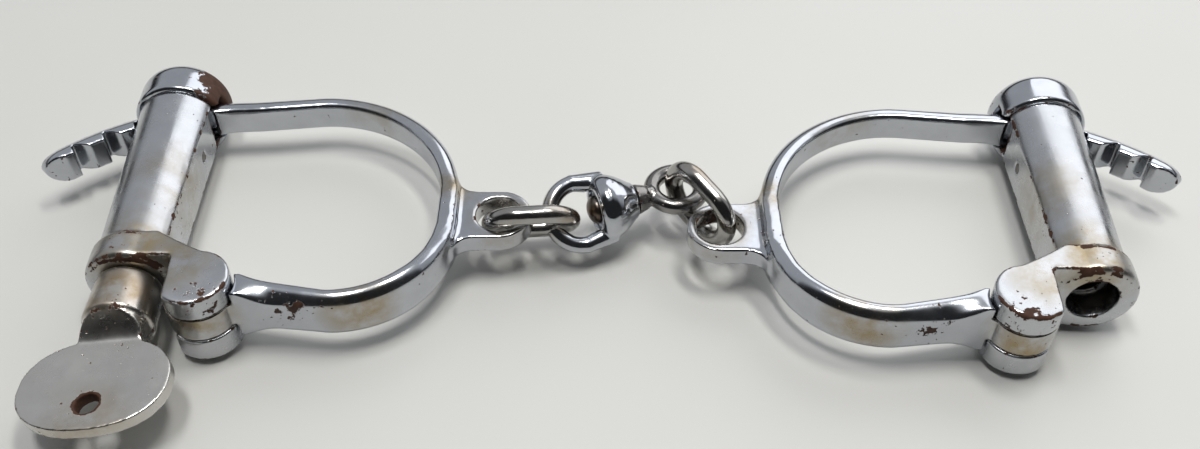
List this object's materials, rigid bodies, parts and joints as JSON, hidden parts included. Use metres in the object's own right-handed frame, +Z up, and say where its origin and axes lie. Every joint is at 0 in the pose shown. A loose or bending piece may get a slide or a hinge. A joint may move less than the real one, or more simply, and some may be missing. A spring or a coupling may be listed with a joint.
{
  "type": "handcuffs",
  "caption": "Old barrel-lock handcuffs: hinged bows with a ratchet arm, tapered screw locks, swivel chain and a screw key.",
  "frame": {"origin": "on the ground, under the middle of the pair's bounding box", "axes": "+X from the left cuff to the right cuff along the chain, +Y towards the locks' capped ends, +Z up"},
  "size_m": [0.2502, 0.0973, 0.0206],
  "materials": {
    "bow": "bright plated steel, worn",
    "barrel": "bright plated steel, worn",
    "cap": "bright plated steel, chipped",
    "pin": "ground steel",
    "bolt": "oiled steel",
    "spring": "spring steel",
    "seat": "dull brass",
    "link": "plated steel, yellowed",
    "stirrup": "plated steel",
    "swivel_eye": "darkened plated steel",
    "key": "plated steel, yellowed"
  },
  "bodies": {
    "left_bow": {"left_bow": "bow"},
    "left_lock": {"left_lock_barrel": "barrel", "left_end_cap": "cap", "left_hinge_pin": "pin", "left_spring_seat": "seat", "left_guide_pin": "pin", "left_bolt_spring": "spring"},
    "left_bolt": {"left_bolt": "bolt"},
    "key": {"key": "key"},
    "left_link": {"left_link": "link"},
    "stirrup": {"swivel_stirrup": "stirrup"},
    "swivel_eye": {"swivel_eye": "swivel_eye"},
    "right_link": {"right_link": "link"},
    "right_bow": {"right_bow": "bow"},
    "right_lock": {"right_lock_barrel": "barrel", "right_end_cap": "cap", "right_hinge_pin": "pin", "right_spring_seat": "seat", "right_guide_pin": "pin", "right_bolt_spring": "spring"},
    "right_bolt": {"right_bolt": "bolt"}
  },
  "joints": [
    {"name": "left_cuff_hinge", "type": "hinge", "parent": "left_bow", "child": "left_lock", "pos_m": [-0.0806, -0.018, 0.0103], "axis": [0, 0, 1], "range_deg": [-7, 70]},
    {"name": "right_cuff_hinge", "type": "hinge", "parent": "right_bow", "child": "right_lock", "pos_m": [0.0806, -0.0218, 0.0103], "axis": [0, 0, -1], "range_deg": [-7, 85]},
    {"name": "left_bolt_slide", "type": "slide", "parent": "left_lock", "child": "left_bolt", "axis": [-0.0349, 0.9994, 0], "range_m": [0, 0.0038], "deforming": ["left_bolt_spring"]},
    {"name": "right_bolt_slide", "type": "slide", "parent": "right_lock", "child": "right_bolt", "axis": [0.0349, 0.9994, 0], "range_m": [0, 0.0038], "deforming": ["right_bolt_spring"]},
    {"name": "key_turn", "type": "hinge", "parent": "left_lock", "child": "key", "pos_m": [-0.09572, -0.02053, 0.0103], "axis": [0.0349, -0.9994, 0], "range_deg": [0, 912]},
    {"name": "left_link_swing", "type": "hinge", "parent": "left_bow", "child": "left_link", "pos_m": [-0.02493, 0.00451, 0.0103], "axis": [0, 0, 1], "range_deg": [-5, 12]},
    {"name": "stirrup_tilt", "type": "hinge", "parent": "left_link", "child": "stirrup", "pos_m": [-0.01226, 0.00522, 0.0103], "axis": [-0.2695, 0.7405, 0.6157], "range_deg": [-20, 20]},
    {"name": "swivel_spin", "type": "hinge", "parent": "stirrup", "child": "swivel_eye", "pos_m": [0.00015, 0.00973, 0.0103], "axis": [0.9397, 0.342, 0], "continuous": true},
    {"name": "right_link_swing", "type": "hinge", "parent": "swivel_eye", "child": "right_link", "pos_m": [0.01419, 0.01556, 0.01352], "axis": [-0.14, 0.176, -0.9744], "range_deg": [-15, 25]},
    {"name": "right_cuff_swing", "type": "hinge", "parent": "right_link", "child": "right_bow", "pos_m": [0.0245, 0.0026, 0.0097], "axis": [0, 0, 1], "range_deg": [-15, 25]}
  ],
  "couplings": [
    {"joint": "left_bolt_slide", "follows": "key_turn", "m_per_rad": 0.00023873}
  ]
}
